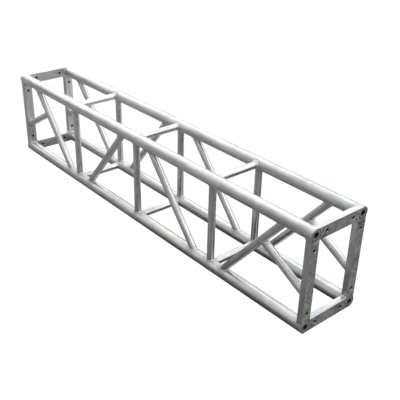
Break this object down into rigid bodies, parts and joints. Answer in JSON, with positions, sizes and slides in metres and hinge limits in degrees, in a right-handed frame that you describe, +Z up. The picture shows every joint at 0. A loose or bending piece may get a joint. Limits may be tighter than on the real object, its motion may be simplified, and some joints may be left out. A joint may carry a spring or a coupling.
{
  "type": "lighting truss section",
  "caption": "Straight box truss section for stage lighting: round chords braced by welded tubes between bolt-together rectangular end frames.",
  "frame": {"origin": "under the middle of the truss, on the surface that it stands on", "axes": "+X along the truss towards its right end, +Y from the front side face to the back one, +Z up"},
  "size_m": [2, 0.292, 0.425],
  "materials": {
    "chord_tube": "mill finish, satin, fine drawing lines along the tube",
    "brace_tube": "mill finish, satin, slightly duller than the chords",
    "end_frame_tube": "mill finish, matt, linished end faces",
    "chord_plug": "machined face, slightly stained round the hole"
  },
  "bodies": {
    "root": {"chord_bottom_front": "chord_tube", "chord_plug_bottom_front_left": "chord_plug", "chord_plug_bottom_front_right": "chord_plug", "chord_top_front": "chord_tube", "chord_plug_top_front_left": "chord_plug", "chord_plug_top_front_right": "chord_plug", "end_leg_front_left": "end_frame_tube", "diagonal_outer_front_left": "brace_tube", "diagonal_inner_front_left": "brace_tube", "knee_brace_front_left": "brace_tube", "end_leg_front_right": "end_frame_tube", "diagonal_outer_front_right": "brace_tube", "diagonal_inner_front_right": "brace_tube", "knee_brace_front_right": "brace_tube", "post_front_left": "brace_tube", "post_front_mid": "brace_tube", "post_front_right": "brace_tube", "chord_bottom_back": "chord_tube", "chord_plug_bottom_back_left": "chord_plug", "chord_plug_bottom_back_right": "chord_plug", "chord_top_back": "chord_tube", "chord_plug_top_back_left": "chord_plug", "chord_plug_top_back_right": "chord_plug", "end_leg_back_left": "end_frame_tube", "diagonal_outer_back_left": "brace_tube", "diagonal_inner_back_left": "brace_tube", "knee_brace_back_left": "brace_tube", "end_leg_back_right": "end_frame_tube", "diagonal_outer_back_right": "brace_tube", "diagonal_inner_back_right": "brace_tube", "knee_brace_back_right": "brace_tube", "post_back_left": "brace_tube", "post_back_mid": "brace_tube", "post_back_right": "brace_tube", "end_rail_bottom_left": "end_frame_tube", "end_rail_bottom_right": "end_frame_tube", "rung_bottom_left": "brace_tube", "rung_bottom_mid": "brace_tube", "rung_bottom_right": "brace_tube", "end_rail_top_left": "end_frame_tube", "end_rail_top_right": "end_frame_tube", "rung_top_left": "brace_tube", "rung_top_mid": "brace_tube", "rung_top_right": "brace_tube"}
  },
  "joints": []
}
